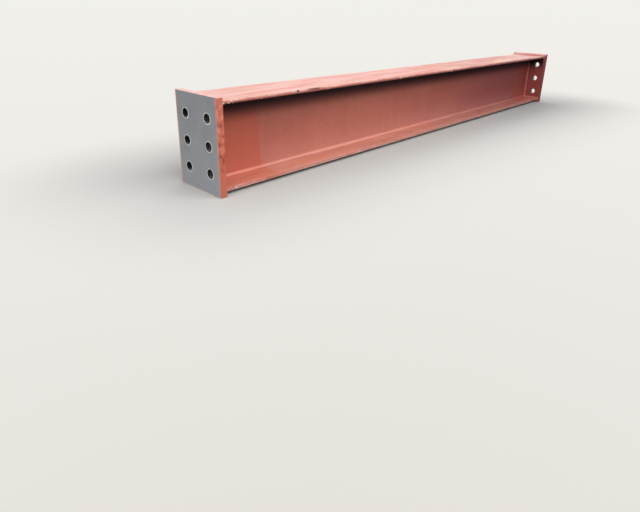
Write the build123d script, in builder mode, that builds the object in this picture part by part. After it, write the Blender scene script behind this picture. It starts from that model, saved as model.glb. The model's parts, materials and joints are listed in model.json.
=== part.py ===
"""Fabricated steel I-beam: a rolled wide-flange section with a drilled plate welded across each end.

The beam lies along X, with its web upright along Z. The origin is on the floor under the middle
of the beam, which stands on the lower edges of its two end plates.
"""

import os

from build123d import *

# Rolled section, in millimetres
section_depth = 294.0
flange_width = 200.0
web_thickness = 8.0
flange_thickness = 12.0
root_radius = 13.0
toe_radius = 1.5

# Length over the outer faces of both end plates
overall_length = 2700.0

# End plates
plate_thickness = 25.0
plate_side_overhang = 12.5
plate_depth_overhang = 13.0
plate_edge_break = 1.0

# Bolt holes, in columns astride the web
bolt_hole_diameter = 30.0
bolt_columns = 2
bolt_gauge = 120.0
bolt_rows = 3
bolt_pitch = 90.0

# Fillet weld run all round the section at each end
weld_leg = 8.0
weld_bulge = 0.8

# Worked out from the sizes above
beam_length = overall_length - 2 * plate_thickness
beam_end = beam_length / 2
plate_width = flange_width + 2 * plate_side_overhang
plate_height = section_depth + 2 * plate_depth_overhang
axis_height = plate_height / 2


def cross_plane(x, facing=1):
    """Upright plane across the beam at x, centred on the beam's axis and facing along X."""
    return Plane(origin=(x, 0, axis_height), x_dir=(0, facing, 0), z_dir=(facing, 0, 0))


def rolled_section(plane):
    """Face of the rolled section: rounded flange toes, and fillets where web meets flange."""
    half_depth = section_depth / 2
    half_width = flange_width / 2
    half_web = web_thickness / 2
    inner = half_depth - flange_thickness
    with BuildSketch(plane) as section:
        with BuildLine():
            FilletPolyline(
                (0, half_depth),
                (half_width, half_depth),
                (half_width, inner),
                (half_web, inner),
                (half_web, -inner),
                (half_width, -inner),
                (half_width, -half_depth),
                (0, -half_depth),
                radius=[toe_radius, toe_radius, root_radius, root_radius, toe_radius, toe_radius],
            )
            mirror(about=Plane.YZ)
        make_face()
    return section


def end_plate(outer_x, facing):
    """Plate across one end of the beam, its outer face at outer_x, drilled for the splice bolts."""
    with BuildPart() as plate:
        with BuildSketch(cross_plane(outer_x, facing)):
            Rectangle(plate_width, plate_height)
        extrude(amount=-plate_thickness)
        chamfer(plate.edges(), plate_edge_break)
        with BuildSketch(cross_plane(outer_x, facing)):
            with GridLocations(bolt_gauge, bolt_pitch, bolt_columns, bolt_rows):
                Circle(bolt_hole_diameter / 2)
        extrude(amount=-plate_thickness, mode=Mode.SUBTRACT)
    return plate


def end_weld(plate_x, towards_middle):
    """Convex fillet weld all round the section, in the corner between it and an end plate."""
    path = rolled_section(cross_plane(plate_x)).sketch.face().outer_wire()
    heel_height = axis_height + section_depth / 2
    crown_rise = weld_leg / 2 + weld_bulge / 2**0.5
    heel = (plate_x, heel_height)
    on_beam = (plate_x + towards_middle * weld_leg, heel_height)
    on_plate = (plate_x, heel_height + weld_leg)
    crown = (plate_x + towards_middle * crown_rise, heel_height + crown_rise)
    with BuildPart() as weld:
        with BuildSketch(Plane.XZ):
            with BuildLine():
                Line(heel, on_beam)
                ThreePointArc(on_beam, crown, on_plate)
                Line(on_plate, heel)
            make_face()
        sweep(path=path, transition=Transition.ROUND)
    return weld


near_section = rolled_section(cross_plane(-beam_end))
with BuildPart() as rolled_beam:
    extrude(near_section.sketch, amount=beam_length)

near_end_plate = end_plate(-overall_length / 2, -1)
far_end_plate = end_plate(overall_length / 2, 1)
near_end_weld = end_weld(-beam_end, 1)
far_end_weld = end_weld(beam_end, -1)

pieces = {
    "rolled_beam": rolled_beam,
    "near_end_plate": near_end_plate,
    "far_end_plate": far_end_plate,
    "near_end_weld": near_end_weld,
    "far_end_weld": far_end_weld,
}
os.makedirs("parts", exist_ok=True)
for name, piece in pieces.items():
    piece.part.label = name
    export_step(piece.part, f"parts/{name}.step")
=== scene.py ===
# %% [markdown]
# # A steel I-beam with an end plate at each end
#
# The beam is a rolled section, painted with red oxide primer in the workshop, with a drilled plate
# welded across each of its ends. The solids come ready made, so this script only dresses them: it
# gives each one its finish, models the weld beads with their ripples, and sets the light and the camera.
#
# The first step loads those solids. They stay where they are, and everything else is placed by them.

# %% Load the beam
import json
import math

import bmesh
import bpy
from mathutils import Matrix, Vector


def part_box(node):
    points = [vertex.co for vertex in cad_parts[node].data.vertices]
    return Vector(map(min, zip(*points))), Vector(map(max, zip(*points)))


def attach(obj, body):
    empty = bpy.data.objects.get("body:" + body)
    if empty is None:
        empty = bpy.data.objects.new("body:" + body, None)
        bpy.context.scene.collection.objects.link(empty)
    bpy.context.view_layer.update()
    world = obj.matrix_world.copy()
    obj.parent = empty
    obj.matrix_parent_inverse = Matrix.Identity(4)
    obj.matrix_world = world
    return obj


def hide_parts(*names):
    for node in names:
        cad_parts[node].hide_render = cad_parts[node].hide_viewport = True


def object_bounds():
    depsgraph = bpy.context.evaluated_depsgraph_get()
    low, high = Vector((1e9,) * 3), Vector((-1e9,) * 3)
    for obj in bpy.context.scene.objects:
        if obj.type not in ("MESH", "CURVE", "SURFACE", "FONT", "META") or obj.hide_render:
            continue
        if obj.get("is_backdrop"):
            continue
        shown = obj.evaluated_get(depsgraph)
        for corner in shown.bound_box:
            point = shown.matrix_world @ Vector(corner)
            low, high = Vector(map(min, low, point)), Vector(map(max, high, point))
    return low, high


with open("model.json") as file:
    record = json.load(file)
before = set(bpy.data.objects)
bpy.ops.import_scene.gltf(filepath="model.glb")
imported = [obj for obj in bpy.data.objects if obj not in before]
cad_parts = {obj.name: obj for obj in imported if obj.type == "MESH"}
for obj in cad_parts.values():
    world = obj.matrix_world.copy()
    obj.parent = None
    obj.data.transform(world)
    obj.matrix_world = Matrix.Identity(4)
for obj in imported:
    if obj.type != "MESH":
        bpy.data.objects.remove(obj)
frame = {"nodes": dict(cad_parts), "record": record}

cad_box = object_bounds()
nodes = frame["nodes"]
print("loaded", sorted(nodes))

# %% [markdown]
# ## Sizes
#
# The boxes of the pieces say where the steel lies. What a box can't say, such as the thickness of the
# web, is a size of the rolled section, and the bolt pattern stands in the record's mounts.

# %% Read the sizes
MM = 0.001

beam_low, beam_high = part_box("rolled_beam")
near_low, near_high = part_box("near_end_plate")
far_low, far_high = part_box("far_end_plate")
mounts = {mount["name"]: mount for mount in frame["record"]["mounts"]}
bolts = mounts["near_plate_corner_bolts"]["dims"]

web_thickness = 8 * MM
flange_thickness = 12 * MM
root_radius = 13 * MM
toe_radius = 1.5 * MM
bolt_gauge = bolts["spacing_x_mm"] * MM
bolt_pitch = bolts["spacing_y_mm"] / 2 * MM
bolt_radius = bolts["hole_r_mm"] * MM

axis_height = (beam_low.z + beam_high.z) / 2
half_flange = (beam_high.y - beam_low.y) / 2
half_depth = (beam_high.z - beam_low.z) / 2
print("section", round(2 * half_depth / MM, 1), "x", round(2 * half_flange / MM, 1), "mm")
print("bolt holes", round(bolt_gauge / MM), "mm apart across and", round(bolt_pitch / MM), "mm upwards")

# %% [markdown]
# ## Shader maths in plain Python
#
# A finish is a tree of nodes. Writing it as sums is easier to read than wiring, so one small class
# wraps a socket and lets Python's own operators add the Math nodes. Colours never go through them,
# because a Math node turns a colour grey: they have a mix of their own.

# %% A socket that can be added and multiplied
class Value:
    """A number that changes over the surface."""

    def __init__(self, finish, socket):
        self.finish = finish
        self.socket = socket

    def math(self, operation, *inputs):
        return self.finish.node("ShaderNodeMath", {"operation": operation}, dict(enumerate(inputs)))

    def __add__(self, other):
        return self.math("ADD", self, other)

    def __sub__(self, other):
        return self.math("SUBTRACT", self, other)

    def __rsub__(self, other):
        return self.math("SUBTRACT", other, self)

    def __mul__(self, other):
        return self.math("MULTIPLY", self, other)

    def __truediv__(self, other):
        return self.math("DIVIDE", self, other)

    def __rtruediv__(self, other):
        return self.math("DIVIDE", other, self)

    def __pow__(self, other):
        return self.math("POWER", self, other)

    def __abs__(self):
        return self.math("ABSOLUTE", self)

    def __round__(self):
        return self.math("ROUND", self)

    __radd__ = __add__

    def at_least(self, limit):
        return self.math("MAXIMUM", self, limit)

    def rises(self, low, high):
        """0 below low and 1 above high, with a smooth step between."""
        settings = {"interpolation_type": "SMOOTHSTEP"}
        sockets = {"Value": self, "From Min": low, "From Max": high}
        return self.finish.node("ShaderNodeMapRange", settings, sockets)

    def falls(self, low, high):
        """1 below low and 0 above high."""
        return 1 - self.rises(low, high)

    def nears(self, limit, short, close):
        """0 until it is that short of the limit, and 1 from that close to it."""
        return self.rises(limit - short, limit - close)


# %% [markdown]
# A finish holds the tree itself. One method adds any node: its settings come first, then its sockets,
# each with a number, a colour or a link. The sockets of a colour mix go by number, because some of them
# share a name. The patterns are all laid out in the object's own metres, so a grain of 5 mm stays 5 mm
# on every piece.
#
# Layers of colour are given one by one, each as its colour, where it lies and how much of it there is.
# The limits of the steps and those amounts are what it took to come near the real beam: change one, and
# see what it does.

# %% A finish and its nodes
MIX_FACTOR, MIX_FIRST, MIX_SECOND, MIX_RESULT = 0, 6, 7, 2
MATT_GLOSS = 0.3


def paint(red, green, blue):
    """A colour as a picture shows it, 0 to 255, turned into the linear one that a shader takes."""
    levels = [level / 255 for level in (red, green, blue)]
    linear = [c / 12.92 if c < 0.04045 else ((c + 0.055) / 1.055) ** 2.4 for c in levels]
    return (*linear, 1)


class Finish:
    """One material, with the ways to add nodes to it."""

    def __init__(self, name, owner=None):
        self.owner = owner or bpy.data.materials.get(name) or bpy.data.materials.new(name)
        self.owner.use_nodes = True
        self.tree = self.owner.node_tree
        self.tree.nodes.clear()

    def node(self, kind, settings=None, inputs=None, output=0):
        new = self.tree.nodes.new(kind)
        for name, setting in (settings or {}).items():
            setattr(new, name, setting)
        for name, value in (inputs or {}).items():
            if isinstance(value, Value):
                self.tree.links.new(value.socket, new.inputs[name])
            else:
                new.inputs[name].default_value = value
        return Value(self, new.outputs[output]) if len(new.outputs) else new

    def mix(self, first, second, factor):
        """The first colour, turning into the second as factor goes from 0 to 1."""
        sockets = {MIX_FACTOR: factor, MIX_FIRST: first, MIX_SECOND: second}
        return self.node("ShaderNodeMix", {"data_type": "RGBA"}, sockets, output=MIX_RESULT)

    def layers(self, colour, *layers):
        """The colour under some layers, each given as (its colour, where it lies, how much of it)."""
        for layer_colour, mask, share in layers:
            colour = self.mix(colour, layer_colour, mask * share)
        return colour

    def part(self, source, axis):
        """One axis of a texture coordinate."""
        vector = self.node("ShaderNodeTexCoord", output=source)
        return self.node("ShaderNodeSeparateXYZ", None, {0: vector}, output=axis)

    def at(self, axis):
        """A point's place along one axis, in metres."""
        return self.part("Object", axis)

    def facing(self, axis):
        """How far the surface faces along one axis, from -1 to 1."""
        return self.part("Normal", axis)

    def grain(self, size, stretch=(1, 1, 1), detail=3.0, sharp=0.55):
        """Cloudy noise around 0.5, in patches of that size in metres, drawn out by stretch."""
        where = self.node("ShaderNodeTexCoord", output="Object")
        scale = tuple(1 / factor for factor in stretch)
        where = self.node("ShaderNodeMapping", None, {"Vector": where, "Scale": scale})
        sockets = {"Vector": where, "Scale": 1 / size, "Detail": detail, "Roughness": sharp}
        return self.node("ShaderNodeTexNoise", None, sockets)

    def surface(self, colour, roughness, height):
        """The finished surface, with its height in metres. Paint that shines would have a gloss of 0.5."""
        relief = self.node("ShaderNodeBump", None, {"Height": height, "Distance": 1.0})
        sockets = {"Base Color": colour, "Roughness": roughness, "Normal": relief}
        sockets["Specular IOR Level"] = MATT_GLOSS
        shader = self.node("ShaderNodeBsdfPrincipled", None, sockets)
        self.node("ShaderNodeOutputMaterial", None, {"Surface": shader})
        return self.owner


print("a grey of 128 in a picture is", round(paint(128, 128, 128)[0], 3), "in linear light")

# %% [markdown]
# ## Red oxide primer
#
# Primer is a thin matt coat, sprayed on in the shop. It is never one red. It is mottled where the gun
# lapped. It greys and deepens along the beam, partly as painted shade where the light falls off towards the
# far end. Whatever faces up is paler, partly from dust and sun and partly from painted light from above. A
# fresher, more orange coat covers the last span of a hand at each end, sprayed on after the plates were
# welded. All of these are masks made from the place and the direction of the surface, and each layer of
# colour is mixed over the ones before it, in the order in which the real surface got them.

# %% The colours of the primer
PRIMER = paint(190, 113, 94)
PRIMER_DULL = paint(175, 98, 85)
PRIMER_DEEP = paint(154, 78, 70)
PRIMER_FAR = paint(156, 80, 78)
PRIMER_FRESH = paint(190, 95, 74)
PRIMER_PALER = paint(232, 142, 106)
PRIMER_ROSE = paint(196, 104, 108)
PALE_PINK = paint(220, 195, 187)
FADED = paint(236, 206, 170)
print("primer in linear light", [round(channel, 3) for channel in PRIMER[:3]])

# %% [markdown]
# The fresh coat ends in a ragged edge that slants a little, and it gets thinner upwards. On the top face
# the weather has all but evened it out. Two small masks help here and further on: one for the surfaces
# that look up, and one for the level of the top face.

# %% Where the fresh coat lies
TOUCH_UP_LENGTH = 222 * MM
TOUCH_UP_EDGE = 10 * MM
TOUCH_UP_SLANT = 0.12
WANDER = 42 * MM
THINNER_UPWARDS = 0.45
EVENED_OUT = 0.85
TURNED = (0.3, 0.8)


def facing_up(finish):
    """1 on the surfaces that look up."""
    return finish.facing("Z").rises(*TURNED)


def at_the_top(finish):
    """1 at the level of the beam's top face and above."""
    return finish.at("Z").nears(beam_high.z, 4 * MM, 1 * MM)


def touch_up(finish):
    """1 where the fresh coat lies, at both ends."""
    x, z = finish.at("X"), finish.at("Z")
    ragged = (finish.grain(0.045, detail=4, sharp=0.6) - 0.5) * WANDER
    from_end = beam_high.x - abs(x) + (z - axis_height) * TOUCH_UP_SLANT + ragged
    edge = from_end.falls(TOUCH_UP_LENGTH - TOUCH_UP_EDGE, TOUCH_UP_LENGTH + TOUCH_UP_EDGE)
    thinner = 1 - z.rises(axis_height, beam_high.z) * THINNER_UPWARDS
    return edge * thinner * (1 - at_the_top(finish) * facing_up(finish) * EVENED_OUT)


print("fresh coat on the last", round(TOUCH_UP_LENGTH / MM), "mm of each end")

# %% [markdown]
# The reds that the gun left are cloudy noise at four sizes. Noise lies around 0.5, so a step from 0.38 to
# 0.62 gives soft clouds, and a narrower one gives patches with an edge. Noise that is drawn out upwards
# makes the laps of the gun. The slow changes along the beam are steps along X, in metres: a darkening
# towards the far end that is partly painted shade.

# %% The sprayed coat
def sprayed_and_shaded_red(finish, clouds, speckle, touched_up):
    """The colour that the gun left, darker towards the far end, partly painted shade."""
    x = finish.at("X")
    # Duller away from the near end and deeper towards the far end: partly painted shade of the light
    # falling off along the beam.
    dull = clouds.rises(0.38, 0.62) * 0.6 + x.rises(-1.1, 0) * 0.4
    laps = finish.grain(0.028, stretch=(1, 1, 12), detail=3).rises(0.45, 0.75)
    mottle = finish.grain(0.045, detail=4, sharp=0.6).rises(0.52, 0.75)
    return finish.layers(
        PRIMER,
        (PRIMER_DULL, dull, 1),
        (PRIMER_FAR, x.rises(-0.1, 1.1), 0.75),
        (PRIMER_DEEP, laps, 0.14),
        (PRIMER_FRESH, touched_up, 0.85),
        (PRIMER_FAR, x.rises(0.2, 1.2), 0.3),
        (PRIMER_DEEP, mottle, 0.22),
        (PRIMER_DEEP, speckle.rises(0.56, 0.75), 0.22),
    )


# %% [markdown]
# What looks up is paler. It has a lighter orange and a pale pink of dust, most on the top face. Both are
# partly painted light from above. On the top face the pink thins out towards the far end, where the falling
# off of the light is painted as well. Rain leaves stains and streaks drawn out along the beam, and towards
# the far end the sun has faded it in patches.

# %% What the weather and the painted light did
DUST = 0.11
DUST_AND_LIGHT_ON_TOP = 0.25
DUST_ON_FRESH = -0.07


def weathered_and_lit(finish, colour, clouds, touched_up):
    """The coat's colour after rain, dust and sun, with painted light from above on what faces up."""
    x, up = finish.at("X"), facing_up(finish)
    # On the top face, less of it towards the far end: a painted falling off of the light.
    on_top = at_the_top(finish) * (1 - x.rises(0.2, 1.3) * 0.32)
    streaks = finish.grain(0.03, stretch=(9, 1, 1), detail=4, sharp=0.65).rises(0.36, 0.64)
    stain = up * finish.grain(0.05, stretch=(7, 1, 1), detail=3, sharp=0.6).rises(0.44, 0.60)
    sunned = finish.grain(0.07, stretch=(5, 1, 1), detail=3).rises(0.48, 0.62) * x.rises(0.2, 0.8)
    # The dust here is partly painted light from above, most on the top face.
    dust = DUST + touched_up * DUST_ON_FRESH + on_top * DUST_AND_LIGHT_ON_TOP
    return finish.layers(
        colour,
        # Lighter where it looks up: partly painted light from above.
        (PRIMER_PALER, up, 0.27 - touched_up * 0.09),
        (PRIMER_DEEP, stain * (1 - on_top), 0.35),
        (PRIMER_ROSE, stain * on_top, 0.5 + x.rises(-0.2, 0.9) * 0.5),
        (PALE_PINK, up * dust, 0.25 + clouds * 0.4 + streaks * 1.1),
        (FADED, up * on_top * sunned, 0.5),
    )


# %% [markdown]
# The whole coat is those two steps together with its feel: matt, a little uneven in its shine, with the
# fine peel of sprayed paint over the low lumps of rolled steel.

# %% The coat of primer
MATT = 0.66
SHINE_VARIES = 0.25
PEEL_HEIGHT = 0.05 * MM
LUMP_HEIGHT = 0.12 * MM


def coat_of_primer(finish):
    """The primer's colour, roughness and height at any point of the beam."""
    clouds = finish.grain(0.30, stretch=(1.6, 1, 1), detail=4)
    speckle = finish.grain(0.005, detail=2, sharp=0.7)
    touched_up = touch_up(finish)
    colour = sprayed_and_shaded_red(finish, clouds, speckle, touched_up)
    colour = weathered_and_lit(finish, colour, clouds, touched_up)
    height = finish.grain(0.0022, detail=2) * PEEL_HEIGHT + finish.grain(0.018, detail=3) * LUMP_HEIGHT
    roughness = MATT + (speckle - 0.5) * SHINE_VARIES
    return colour, roughness, height


# %% [markdown]
# Up under the top flange, shade is painted into the colour as a near-black. It is strongest at the top of
# the web and weaker further down, bluish at one end of the beam and browner at the other. Where it is
# painted, the surface is also made duller. The same mask and colour serve the section, the inner faces of
# the plates and the welds.

# %% The painted shade under the top flange
SHADE_UNDER_FLANGE = paint(31, 16, 28)
SHADE_UNDER_FLANGE_FAR = paint(22, 8, 15)
SHADE_DULL = 0.11
SHADE_DULL_FAR = 0.26
SHADE_SHARE = 0.97
SHADE_STARTS = 102 * MM
SHADE_FULL = 36 * MM


def painted_shade_under_flange(finish):
    """How strongly shade is painted in: most under the top flange, none a hand's breadth below."""
    y, z = finish.at("Y"), finish.at("Z")
    high = z.nears(beam_high.z, SHADE_STARTS, SHADE_FULL)
    off_the_top = finish.facing("Z").falls(0.5, 0.9) * (1 - z.nears(beam_high.z, 6 * MM, 1 * MM))
    off_the_toe = 1 - abs(y).nears(half_flange, 1.6 * MM, 0.6 * MM)
    return high * off_the_top * off_the_toe


def mix_in_painted_shade(finish, colour, roughness, shows, share):
    """The coat's colour and roughness, with the painted shade mixed in where shows is above 0, and duller
    there.
    """
    far = finish.at("X").rises(-0.9, 0.5)
    # scale is the colour of the painted shade, bluish at one end and browner at the other.
    scale = finish.mix(SHADE_UNDER_FLANGE, SHADE_UNDER_FLANGE_FAR, far)
    rougher = SHADE_DULL + far * (SHADE_DULL_FAR - SHADE_DULL)
    return finish.layers(colour, (scale, shows, share)), roughness + shows * rougher


# The lowest level that the painted shade under the top flange reaches.
print("mill scale shows down to", round((beam_high.z - SHADE_STARTS) / MM), "mm above the floor")

# %% [markdown]
# ## The rolled section
#
# The section wears in places of its own. Its web is deepest in colour at the far end, mostly painted shade,
# and paler along its foot. The lower root fillets show a light line that fades out along the beam. That
# line is partly dust and partly a painted highlight where the fillet catches the light.

# %% The web and its root
# A deep colour for painted shade: the web towards the far end and the inner faces of the plates.
WEB_FAR = paint(130, 56, 60)
# The pale colour of the root line: partly dust, partly a painted highlight.
ROOT_DUST_AND_HIGHLIGHT = paint(226, 158, 142)
root_reach = web_thickness / 2 + root_radius


def deep_web(finish, colour):
    """The web, deeper in colour along the beam, mostly painted shade, and paler at its foot."""
    x, y, above = finish.at("X"), finish.at("Y"), finish.at("Z") - beam_low.z
    web = abs(y).falls(web_thickness / 2 + 2 * MM, root_reach) * abs(finish.facing("Y")).rises(*TURNED)
    paler_foot = above.falls(25 * MM, 120 * MM) * (0.10 - touch_up(finish) * 0.07)
    return finish.layers(
        colour,
        # Darker towards the far end and more so higher up: mostly painted shade.
        (WEB_FAR, web * x.rises(-0.3, 1.25), 0.29 + above.rises(20 * MM, 110 * MM) * 0.22),
        (PALE_PINK, web, paler_foot),
    )


def root_dust_and_highlight(finish, colour, patches):
    """The light line in the lower root fillets, partly dust and partly a painted highlight, fading along
    the beam.
    """
    x, y, above = finish.at("X"), finish.at("Y"), finish.at("Z") - beam_low.z
    tilt = finish.facing("Z")
    root = tilt.rises(0.15, 0.5) * tilt.falls(0.75, 0.97) * above.falls(28 * MM, 34 * MM)
    root = root * abs(y).falls(root_reach, root_reach + 2 * MM)
    return finish.layers(colour, (ROOT_DUST_AND_HIGHLIGHT, root * (0.12 + patches * 0.6), x.falls(-1.3, 0.6)))


print("root fillets reach", round(root_reach / MM, 1), "mm from the middle of the web")

# %% [markdown]
# The toes of the flanges rub on slings and hooks, so their arrises are pale broken lines, and the outer
# band of the bottom flange is a little paler too. Small knocks go down to bare or rusty steel, thickest
# beside the end plates. Two dark spots on the upper edge are listed one by one, as (place along X, reach,
# share), because there is no rule behind them.

# %% The rubbed toes
ARRIS = paint(240, 186, 172)
TOE_SHADE = paint(112, 62, 60)
KNOCK_PALE = paint(228, 208, 194)
KNOCK_DARK = paint(84, 52, 46)
DARK_SPOTS = ((-1.00, 7 * MM, 0.9), (-0.92, 42 * MM, 0.7))


def rubbed_toes(finish, colour, toe, patches):
    """The toes, shaded under their upper edge and rubbed pale along both."""
    y, z = finish.at("Y"), finish.at("Z")
    above, below = z - beam_low.z, beam_high.z - z
    bottom_flange = above.falls(flange_thickness, flange_thickness + 4 * MM)
    rubbed = toe * bottom_flange * patches.rises(0.15, 0.55) * 0.34
    outer_band = bottom_flange * abs(y).nears(half_flange, 32 * MM, 8 * MM) * 0.10
    shade = toe * below.rises(6.5 * MM, 10 * MM) * below.falls(14 * MM, 20 * MM)
    lower_arris = toe * above.falls(1.5 * MM, 6.0 * MM) * patches.rises(0.20, 0.60)
    upper_arris = toe * below.falls(3.0 * MM, 8.0 * MM) * patches.rises(0.20, 0.65)
    return finish.layers(
        colour,
        (ARRIS, rubbed.at_least(outer_band), 1),
        (TOE_SHADE, shade, 0.85),
        (ARRIS, lower_arris, 0.85),
        (ARRIS, upper_arris, 0.75),
    )


def knocks_and_spots(finish, colour, toe, patches):
    """The two dark spots, then the small knocks down to pale and to rusty steel."""
    x, y, below = finish.at("X"), finish.at("Y"), beam_high.z - finish.at("Z")
    upper_edge = abs(y + half_flange).falls(5 * MM, 8 * MM) * below.falls(5 * MM, 9 * MM)
    dark_spots = [(KNOCK_DARK, upper_edge * abs(x - place).falls(reach * 0.4, reach), share)
                  for place, reach, share in DARK_SPOTS]
    knocks = finish.grain(0.008, stretch=(1.8, 1, 1), detail=2, sharp=0.6)
    near_plate = (beam_high.x - abs(x)).falls(30 * MM, 110 * MM)
    knocked = toe * patches.rises(0.46, 0.56).at_least(near_plate)
    pale = (knocks + near_plate * 0.08).rises(0.62, 0.70)
    rusty = knocks.falls(0.30, 0.38)
    return finish.layers(
        colour,
        *dark_spots,
        (KNOCK_PALE, knocked * pale, 0.85),
        (KNOCK_DARK, knocked * rusty, 0.8),
    )


# %% [markdown]
# The section's finish takes those steps in turn, over the coat of primer.

# %% The finish of the section
def primed_section():
    finish = Finish("primed_steel")
    colour, roughness, height = coat_of_primer(finish)
    toe = abs(finish.at("Y")).nears(half_flange, 2.0 * MM, 0.5 * MM)
    patches = finish.grain(0.045, stretch=(1.5, 1, 1), detail=4, sharp=0.65)
    # The painted shade under the top flange, mixed in a touch less towards the near end.
    share = SHADE_SHARE - finish.at("X").falls(-1.1, -0.1) * 0.02
    colour = deep_web(finish, colour)
    colour, roughness = mix_in_painted_shade(finish, colour, roughness, painted_shade_under_flange(finish), share)
    colour = rubbed_toes(finish, colour, toe, patches)
    colour = knocks_and_spots(finish, colour, toe, patches)
    colour = root_dust_and_highlight(finish, colour, patches)
    return finish.surface(colour, roughness, height)


# %% [markdown]
# ## The end plates
#
# The outer face of a plate is left bare for the joint, so it is grey, dull and nearly even. Its sides
# and its inner face are primed with the rest, and the sheared sides took the paint unevenly, in blobs.
# The first function paints what is primed. It puts painted shade on the inner face below the top of the
# flange and on the sides towards the far end, and leaves the top pale, partly from dust and partly from
# painted light.

# %% The primed faces and the sheared sides
BLOB_PALE = paint(236, 146, 118)
BLOB_DEEP = paint(158, 62, 54)
STRIP_DUST = paint(240, 174, 168)
SIDE_FAR = paint(122, 60, 58)
EDGE_SKIN = (0.6 * MM, 0.3 * MM)
plate_thickness = far_high.x - far_low.x


def primed_plate(finish, colour, roughness, outer_x):
    """The plate's inner face, its sides and its top."""
    x, y, z = finish.at("X"), finish.at("Y"), finish.at("Z")
    inner_x = abs(outer_x) - plate_thickness
    inner = abs(x).falls(inner_x + 0.4 * MM, inner_x + 0.8 * MM)
    above_flange = z.rises(beam_high.z - 1 * MM, beam_high.z + 1 * MM)
    colour = finish.layers(
        colour,
        # Below the top of the flange the inner face is darker: painted shade.
        (WEB_FAR, inner * (1 - above_flange), 0.5),
        (STRIP_DUST, inner * above_flange, 0.85),
    )
    # Painted shade up under the top flange, as on the section.
    colour, roughness = mix_in_painted_shade(finish, colour, roughness, inner * painted_shade_under_flange(finish), SHADE_SHARE)

    side = abs(y).nears(near_high.y, *EDGE_SKIN)
    top = z.nears(near_high.z, *EDGE_SKIN)
    blobs = finish.grain(0.016, stretch=(1, 1, 1.3), detail=2)
    halfway = z.rises(0.08, 0.14) * z.falls(0.16, 0.20)
    pale = blobs.rises(0.48, 0.64) * z.rises(0.10, 0.20)
    deep = (blobs - halfway * 0.06).falls(0.32, 0.46) * z.rises(0.05, 0.11)
    colour = finish.layers(
        colour,
        (PRIMER_PALER, side, 0.08 + z.falls(0.06, 0.14) * 0.22),
        (BLOB_PALE, side * pale, 0.65),
        (BLOB_DEEP, side * deep, 0.75),
        # Darker towards the far end: painted shade.
        (SIDE_FAR, side * x.rises(0.3, 1.3), 0.85),
        # The top is pale, partly dust and partly painted light from above.
        (PALE_PINK, top, 0.25),
    )
    return colour, roughness


print("plates", round(plate_thickness / MM, 2), "mm thick")

# %% [markdown]
# Each bolt hole has painted shade on its wall and in a thin ring just past it. Round it is a bright ring,
# partly where the burr was ground off and partly a painted highlight, brightest on its lit side, low down
# and towards -Y. The holes stand in a regular grid, so the distance to the nearest one comes from two sums,
# and no hole has to be listed.

# %% Round each bolt hole
BORE_SKIN = (0.2 * MM, 0.5 * MM)
SHADE_PAST_BORE = (1.3 * MM, 1.8 * MM)
GROUND_RING = (2.8 * MM, 4.8 * MM)
RING_LIT_SIDE = (-0.87, -0.5)


def round_the_holes(finish):
    """Masks of the bore, of the painted shade just past it and of the ring with its painted highlight, and
    the height above the hole's middle.
    """
    y, level = finish.at("Y"), finish.at("Z") - axis_height
    across = y - (round(y / bolt_gauge - 0.5) + 0.5) * bolt_gauge
    up = level - round(level / bolt_pitch) * bolt_pitch
    reach = (across * across + up * up) ** 0.5
    # The ring is brightest on its lit side, low down and towards -Y: a painted highlight.
    lit_side = (across * RING_LIT_SIDE[0] + up * RING_LIT_SIDE[1]) / reach
    bore, edge, ring = [reach.falls(bolt_radius + full, bolt_radius + gone)
                        for full, gone in (BORE_SKIN, SHADE_PAST_BORE, GROUND_RING)]
    return bore, edge, ring * (0.78 + lit_side * 0.22), up


print("bores", round(2 * bolt_radius / MM), "mm wide, with an edge of", round(SHADE_PAST_BORE[1] / MM, 1), "mm")

# %% [markdown]
# The grey of the bare face is a few greys in blotches and upright smears and a fine grain. It is a little
# paler at the foot and darker at the top, which is painted light and shade. Over these lie the ring and the
# painted shade of each hole, and a spray of primer along both borders.

# %% The bare face
STEEL = paint(150, 151, 153)
STEEL_DARK = paint(141, 142, 145)
STEEL_COOL = paint(142, 150, 150)
STEEL_GRAIN_AND_SHADE = paint(120, 122, 126)
STEEL_LIT_FOOT = paint(164, 165, 168)
STEEL_GROUND_AND_HIGHLIGHT = paint(250, 250, 247)
BORE_SHADE = paint(34, 31, 31)


def bare_steel(finish, edge, ring, spray):
    """The grey of the outer face."""
    y, z = finish.at("Y"), finish.at("Z")
    blotches = finish.grain(0.09, detail=4)
    smears = finish.grain(0.02, stretch=(1, 1, 3), detail=3)
    fine = finish.grain(0.008, detail=4, sharp=0.7)
    border = abs(y).nears(near_high.y, 13 * MM, 1 * MM) * spray.rises(0.42, 0.62)
    return finish.layers(
        STEEL,
        (STEEL_DARK, blotches.rises(0.42, 0.66), 1),
        (STEEL_COOL, smears.rises(0.50, 0.72), 0.6),
        # Paler at the foot: painted light.
        (STEEL_LIT_FOOT, z.falls(0.02, 0.17), 0.7),
        # Darker at the top, painted shade, and a fine grain all over.
        (STEEL_GRAIN_AND_SHADE, z.rises(0.17, 0.32) * 0.4 + fine.rises(0.40, 0.80) * 0.35, 1),
        # The bright ring: partly ground steel, partly a painted highlight.
        (STEEL_GROUND_AND_HIGHLIGHT, ring * smears.rises(0.1, 0.55), 1),
        # Painted shade in a thin ring just past each bore.
        (BORE_SHADE, edge, 0.9),
        (BLOB_PALE, border, 0.85),
    )


# %% [markdown]
# A plate's finish puts the bare face over the primed plate, pales the arris that the plate stands on, and
# paints shade into the bores, with a little painted light on the lower part of each. Bare steel is a touch
# smoother.

# %% A plate's finish
BORE_FOOT_LIT = paint(108, 104, 100)
FOOT = paint(214, 178, 170)
SMOOTHER = 0.12


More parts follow.
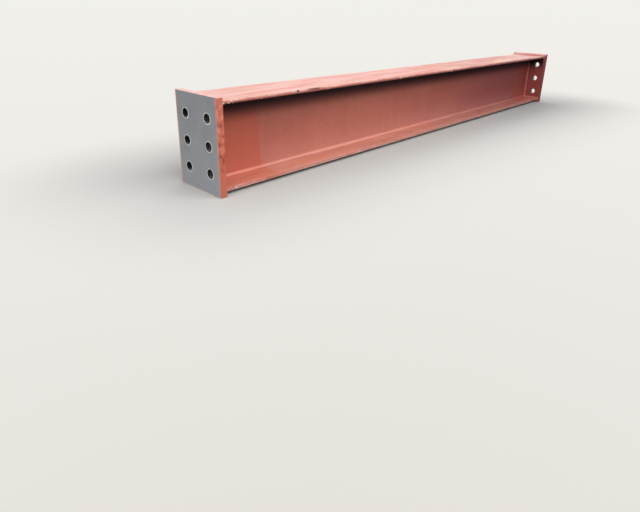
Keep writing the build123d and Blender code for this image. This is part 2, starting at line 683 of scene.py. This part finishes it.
def plate_steel(name, outer_x):
    finish = Finish(name)
    colour, roughness, height = coat_of_primer(finish)
    colour, roughness = primed_plate(finish, colour, roughness, outer_x)
    x, z = finish.at("X"), finish.at("Z")
    spray = finish.grain(0.008, detail=3, sharp=0.7)
    bore, edge, ring, up = round_the_holes(finish)
    face = abs(x).nears(abs(outer_x), 0.45 * MM, 0.2 * MM)
    foot = z.falls(2.2 * MM, 4.2 * MM) * abs(x).nears(abs(outer_x), 1.5 * MM, 1.1 * MM)
    colour = finish.layers(
        colour,
        (bare_steel(finish, edge, ring, spray), face, 1),
        (FOOT, foot, 0.4 + spray * 0.6),
        # Painted shade in the bore, with painted light on its lower part.
        (finish.mix(BORE_FOOT_LIT, BORE_SHADE, up.rises(-15 * MM, -9 * MM)), bore, 1),
    )
    return finish.surface(colour, roughness - face.at_least(bore) * SMOOTHER, height)


# %% [markdown]
# The solids keep their meshes. Each one only has its slots emptied and its own finish put in.

# %% Dress the solids
def dress(node, material):
    mesh = nodes[node].data
    mesh.materials.clear()
    mesh.materials.append(material)
    print(node, "wears", material.name, "with", len(material.node_tree.nodes), "shader nodes")


dress("rolled_beam", primed_section())
dress("near_end_plate", plate_steel("near_plate_steel", near_low.x))
dress("far_end_plate", plate_steel("far_plate_steel", far_high.x))

# %% [markdown]
# ## The weld beads
#
# A fillet weld fills the corner between plate and section with molten metal, laid down in small
# puddles, so its face is a row of overlapping ripples. The bead goes all the way round the section.
# It could be a swept curve, but then the ripples would be only a bump. Here the bead's own section is
# carried round the beam in small steps, straight along each flat and turning round each corner, and
# after each step its crown is swelled or drawn in a little, so every ripple is really there.
#
# The route comes first: which flats and corners the weld meets on its way round half the section.

# %% The route of a weld
WELD_LEG = 8 * MM
STEP = 1.1 * MM
RIPPLE = 4.4 * MM


def half_outline():
    """Runs and turns round half the section, from the middle of its top to the middle of its bottom.

    A flat is (length, 0). A corner is (radius, angle), with a plus where it points outwards."""
    flange_half = half_flange - toe_radius
    edge = flange_thickness - 2 * toe_radius
    under = half_flange - toe_radius - root_radius - web_thickness / 2
    web = 2 * half_depth - 2 * flange_thickness - 2 * root_radius
    toe = (toe_radius, math.pi / 2)
    root = (root_radius, -math.pi / 2)
    upper = [(flange_half, 0), toe, (edge, 0), toe, (under, 0), root]
    return upper + [(web, 0)] + upper[::-1]


half_route = sum(size * (abs(angle) or 1) for size, angle in half_outline())
print("weld route", round(2 * half_route, 3), "m round")

# %% [markdown]
# The bead's section is a closed ring of points: the corner, sunk a little into the steel so that no
# gap shows, then a crowned face from the plate to the beam. Extruding that ring's edges step by step
# along the route makes the skin of the bead.

# %% Carry the bead round
ROOT_SINK = 0.4 * MM
CROWN = 1.0 * MM
FACE_PARTS = 8
LEAST_TURN_STEPS = 6


def bead_section(bm, start, along, outwards):
    """The bead's section: a closed ring of points from the plate, over the crown, to the beam."""
    points = [start - (along + outwards) * ROOT_SINK]
    for part in range(FACE_PARTS + 1):
        share = part / FACE_PARTS
        crown = (along + outwards).normalized() * math.sin(math.pi * share) * CROWN
        points.append(start + outwards * WELD_LEG * (1 - share) + along * WELD_LEG * share + crown)
    return [bm.verts.new(point) for point in points]


def carry_round(bm, plate_x, inwards):
    """Extrudes the bead's section round half the beam. Gives each ring of points with its corner."""
    along, heading, outwards = Vector((inwards, 0, 0)), Vector((0, 1, 0)), Vector((0, 0, 1))
    corner = Vector((plate_x, 0, beam_high.z))
    ring = bead_section(bm, corner, along, outwards)
    rings = [(ring, corner.copy())]
    edges = [bm.edges.new(pair) for pair in zip(ring, ring[1:] + ring[:1])]
    for size, angle in half_outline():
        if angle == 0:
            count = max(1, round(size / STEP))
        else:
            count = max(LEAST_TURN_STEPS, round((size + WELD_LEG / 2) * abs(angle) / STEP))
        for _ in range(count):
            moved = bmesh.ops.extrude_edge_only(bm, edges=edges)["geom"]
            verts = [item for item in moved if isinstance(item, bmesh.types.BMVert)]
            edges = [item for item in moved if isinstance(item, bmesh.types.BMEdge)]
            if angle == 0:
                bmesh.ops.translate(bm, verts=verts, vec=heading * (size / count))
                corner = corner + heading * (size / count)
            else:
                centre = corner - outwards * math.copysign(size, angle)
                turn = Matrix.Rotation(-angle / count, 3, "X")
                bmesh.ops.rotate(bm, verts=verts, cent=centre, matrix=turn)
                corner = centre + turn @ (corner - centre)
                heading = turn @ heading
                outwards = turn @ outwards
            rings.append((verts, corner.copy()))
    return rings


# %% [markdown]
# The ripples come next. Each ring is swelled a little about its own corner, up and down with every
# puddle, and a slow second wave keeps the row from looking machined. Half a bead is then cut clean at
# the middle and mirrored, so its two ends meet and the bead is one closed skin.

# %% Ripple, mirror and close the bead
RIPPLE_SWELL = 0.07
SLOW_SWELL = 0.03
SLOW_TURN = 0.37
MIRROR_MERGE = 0.05 * MM
MERGE = 0.02 * MM


def weld_bead(name, plate_x, inwards):
    """One bead round the section, against the plate face at plate_x. Inwards is +1 or -1 along X."""
    bm = bmesh.new()
    for number, (verts, corner) in enumerate(carry_round(bm, plate_x, inwards)):
        ripple = RIPPLE_SWELL * math.sin(math.pi * (number * STEP / RIPPLE % 1))
        swell = 1 - SLOW_SWELL + ripple + SLOW_SWELL * math.sin(number * SLOW_TURN)
        bmesh.ops.scale(bm, verts=verts, vec=(swell, swell, swell), space=Matrix.Translation(-corner))

    everything = bm.verts[:] + bm.edges[:] + bm.faces[:]
    bmesh.ops.bisect_plane(bm, geom=everything, plane_co=(0, 0, 0), plane_no=(0, 1, 0), clear_inner=True)
    everything = bm.verts[:] + bm.edges[:] + bm.faces[:]
    bmesh.ops.mirror(bm, geom=everything, axis="Y", merge_dist=MIRROR_MERGE)
    bmesh.ops.remove_doubles(bm, verts=bm.verts, dist=MERGE)
    bmesh.ops.recalc_face_normals(bm, faces=bm.faces)
    open_edges = [edge for edge in bm.edges if not edge.is_manifold]
    mesh = bpy.data.meshes.new(name)
    bm.to_mesh(mesh)
    bm.free()
    mesh.shade_smooth()
    piece = bpy.data.objects.new(name, mesh)
    bpy.context.scene.collection.objects.link(piece)
    print(name, len(mesh.polygons), "faces,", len(open_edges), "open edges")
    return piece


# %% [markdown]
# Both welds are under the same primer as the section, with a little dust in the ripples. Each bead stands
# for the plain solid of its weld, which stays behind, hidden. Each bead stands for the plain solid of its
# weld, which stays behind only to be weighed.

# %% Both welds
def weld_metal():
    finish = Finish("weld_metal")
    colour, roughness, height = coat_of_primer(finish)
    # Painted shade up under the top flange, as on the section.
    colour, roughness = mix_in_painted_shade(finish, colour, roughness, painted_shade_under_flange(finish) * 0.8, 1)
    colour = finish.layers(colour, (PALE_PINK, finish.grain(0.01).rises(0.3, 0.8), 0.3))
    return finish.surface(colour, roughness, height)


weld_finish = weld_metal()
for end, plate_x, inwards in (("near", near_high.x, 1), ("far", far_low.x, -1)):
    bead = weld_bead(f"{end}_weld_bead", plate_x, inwards)
    bead.data.materials.append(weld_finish)
    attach(bead, "root")
    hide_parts(f"{end}_end_weld")

# %% [markdown]
# ## Floor and background
#
# The background is a plain pale wash, a little darker where the viewer stands. A wide floor shows it:
# near the beam the floor is an ordinary matt surface that takes its shadow, and further out it fades
# into a plain colour of its own. Rays that only carry light see a darker floor, because a white one
# would light the beam from below, as no real ground does.

# %% The stage
BACKGROUND = paint(241, 240, 235)
BACKGROUND_LOW = paint(227, 224, 217)
FLOOR_NEAR = paint(188, 186, 181)
FLOOR_BOUNCE = paint(48, 46, 44)
FLOOR_RADIUS = 80.0
FLOOR_SIDES = 96
FADE_START = 0.05
FADE_END = 0.75
WASH_REACH = 0.62

camera_place = Vector((-2.1892, -1.3267, 0.5729))


def seen(finish):
    """1 for the rays that show a surface, 0 for those that only carry light."""
    names = ("Is Camera Ray", "Is Glossy Ray", "Is Transmission Ray")
    camera, glossy, through = [finish.node("ShaderNodeLightPath", output=name) for name in names]
    return camera.at_least(glossy).at_least(through)


def floor_finish():
    """Matt ground near the beam, and the plain wash further out."""
    finish = Finish("floor")
    x, y = finish.at("X"), finish.at("Y")
    from_viewer = (x - camera_place.x) ** 2 + (y - camera_place.y) ** 2
    wash = finish.mix(BACKGROUND, BACKGROUND_LOW, WASH_REACH / (from_viewer + WASH_REACH ** 2) ** 0.5)
    shows = seen(finish)
    concrete = finish.mix(FLOOR_BOUNCE, FLOOR_NEAR, shows)
    matt = finish.node("ShaderNodeBsdfDiffuse", None, {"Color": concrete})
    plain = finish.node("ShaderNodeEmission", None, {"Color": wash})
    past_end = (abs(x) - far_high.x).at_least(0)
    past_side = (abs(y) - far_high.y).at_least(0)
    off = (past_end ** 2 + past_side ** 2) ** 0.5
    away = off.rises(FADE_START, FADE_END) * shows
    shader = finish.node("ShaderNodeMixShader", None, {0: away, 1: matt, 2: plain})
    finish.node("ShaderNodeOutputMaterial", None, {"Surface": shader})
    return finish.owner


bm = bmesh.new()
bmesh.ops.create_circle(bm, cap_ends=True, segments=FLOOR_SIDES, radius=FLOOR_RADIUS)
floor_mesh = bpy.data.meshes.new("floor")
bm.to_mesh(floor_mesh)
bm.free()
floor = bpy.data.objects.new("floor", floor_mesh)
floor_mesh.materials.append(floor_finish())
bpy.context.scene.collection.objects.link(floor)
floor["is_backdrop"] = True
print("floor", 2 * FLOOR_RADIUS, "m across")

# %% [markdown]
# ## Light
#
# Outdoors under cloud the light comes from well above the horizon, and that is what leaves the deep shadow
# under the top flange and the pale upper faces. In the finishes here, both are partly painted as well. The
# world gives a dim sky of that kind. A broad lamp on each side, with its lower edge some 18 degrees up,
# adds to the slow fading along the web, which is partly painted too, and a smaller one lights each end
# plate. What the camera sees of the world is only the pale background.
#
# Each lamp is given as its name, its place, the place along the beam's middle that it aims at, its two
# sizes in metres and its power in watts.

# %% The sky and the lamps
SKY = paint(186, 189, 196)
SKY_LOW = paint(20, 20, 24)
LAMPS = (
    ("near_side_lamp", (-0.95, -1.45, 1.56), -0.95, (3.0, 1.96), 56),
    ("near_end_lamp", (-2.8, -0.2, 0.7), near_low.x, (1.0, 0.8), 14),
    ("back_side_lamp", (0.95, 1.45, 1.56), 0.95, (3.0, 1.96), 32),
    ("back_end_lamp", (2.8, 0.2, 0.7), far_high.x, (1.0, 0.8), 14),
)


def sky():
    """A dim cloudy sky that gives no light from near the horizon."""
    world = bpy.data.worlds.new("sky")
    bpy.context.scene.world = world
    finish = Finish("sky", owner=world)
    light = finish.mix(SKY_LOW, SKY, finish.part("Generated", "Z").rises(0.20, 0.44))
    colour = finish.mix(light, BACKGROUND, seen(finish))
    shader = finish.node("ShaderNodeBackground", None, {"Color": colour})
    finish.node("ShaderNodeOutputWorld", None, {"Surface": shader})


def soft_lamp(name, place, aim_x, size, power):
    """A broad lamp that lights the beam and is never in the picture itself."""
    lamp = bpy.data.lights.new(name, "AREA")
    lamp.shape = "RECTANGLE"
    lamp.size, lamp.size_y = size
    lamp.energy = power
    holder = bpy.data.objects.new(name, lamp)
    holder.location = place
    aim = Vector((aim_x, 0, axis_height)) - holder.location
    holder.rotation_euler = aim.to_track_quat("-Z", "Y").to_euler()
    holder.visible_camera = False
    bpy.context.scene.collection.objects.link(holder)
    print(name, "at", place, "with", power, "W")


sky()
for lamp in LAMPS:
    soft_lamp(*lamp)

# %% [markdown]
# ## Camera
#
# The camera stands where the photograph was taken, worked out from the bolt holes and the edges of the
# plates and flanges. It looks down the beam from its near corner, turned a little about its own axis,
# and the shift puts the beam where the photograph has it in its frame.

# %% The camera
camera_turn, camera_tilt, camera_roll = -47.753, 20.313, 1.395


def set_camera():
    lens = bpy.data.cameras.new("camera")
    lens.sensor_width = 36.0
    lens.lens = 27.372
    lens.shift_x = -0.01070
    lens.shift_y = -0.10383
    lens.clip_end = 2 * FLOOR_RADIUS
    holder = bpy.data.objects.new("camera", lens)
    turn = Matrix.Rotation(math.radians(camera_turn), 4, "Z")
    tilt = Matrix.Rotation(math.radians(90 - camera_tilt), 4, "X")
    roll = Matrix.Rotation(math.radians(camera_roll), 4, "Z")
    holder.matrix_world = Matrix.Translation(camera_place) @ turn @ tilt @ roll
    bpy.context.scene.collection.objects.link(holder)
    bpy.context.scene.camera = holder
    bpy.context.scene.view_settings.view_transform = "Standard"


set_camera()
print("camera", round((camera_place - Vector((0, 0, axis_height))).length, 2), "m from the beam's middle")

# %% [markdown]
# ## Last
#
# The dressed beam is meant to be no bigger than its solids, so both boxes are given side by side at the
# end.

# %% Keep both boxes and finish
[[list(corner) for corner in box] for box in (cad_box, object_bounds())]
